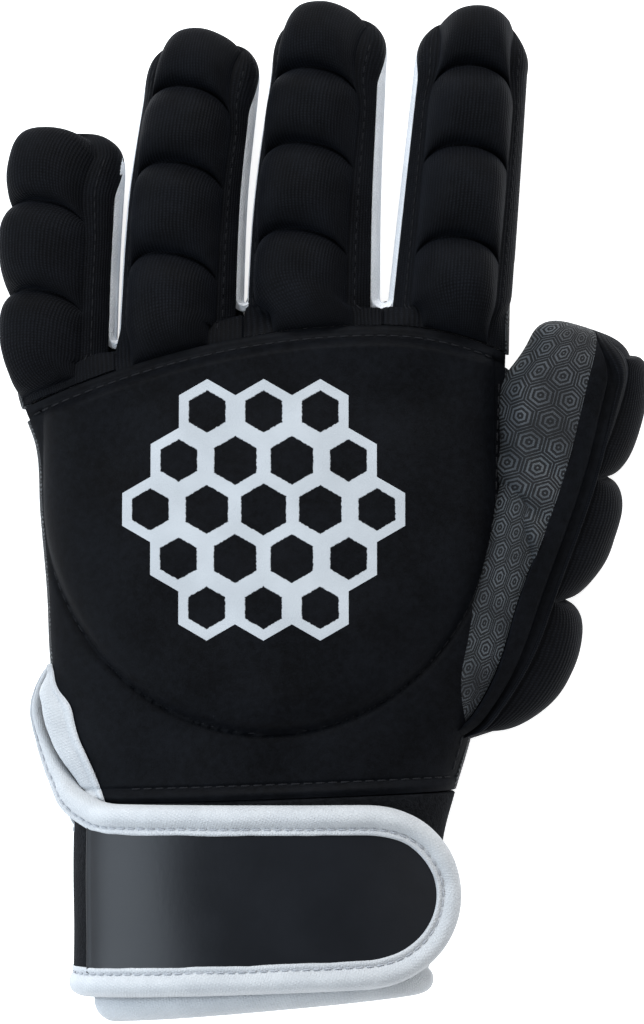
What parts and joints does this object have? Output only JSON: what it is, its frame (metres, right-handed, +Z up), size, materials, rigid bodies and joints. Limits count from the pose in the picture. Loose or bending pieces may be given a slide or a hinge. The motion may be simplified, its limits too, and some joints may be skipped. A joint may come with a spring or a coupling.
{
  "type": "field hockey glove",
  "caption": "Padded left-hand field hockey glove with foam pads on the fingers and thumb, a foam dome on the back of the hand and a wide wrist strap, lying on its palm",
  "frame": {"origin": "on the floor under the middle of the glove's bounding box", "axes": "+Y along the fingers, +X to the thumb's side, +Z up out of the back of the hand; the palm lies on the floor"},
  "size_m": [0.1498, 0.2393, 0.0414],
  "materials": {
    "neoprene": "smooth black knit over neoprene foam",
    "ribbed_knit": "black knit with fine lengthwise ribs over foam",
    "grip_cloth": "black cloth with raised grey dots of grip print",
    "white_cloth": "white woven stretch cloth and folded tape",
    "loop_cloth": "black brushed loop cloth",
    "strap_film": "smooth satin black film"
  },
  "bodies": {
    "root": {"hand_back": "neoprene", "palm": "grip_cloth", "finger_back_little": "ribbed_knit", "finger_back_ring": "ribbed_knit", "finger_back_middle": "ribbed_knit", "finger_back_index": "ribbed_knit", "fourchette_little_ring": "white_cloth", "fourchette_ring_middle": "white_cloth", "fourchette_middle_index": "white_cloth", "thumb_back": "ribbed_knit", "thumb_side": "neoprene", "thumb_front": "grip_cloth", "wrist_band": "loop_cloth", "cuff_tape": "white_cloth", "slit_tape_back": "white_cloth", "slit_tape_palm": "white_cloth", "strap": "loop_cloth", "strap_face": "strap_film", "strap_tape": "white_cloth"}
  },
  "joints": []
}
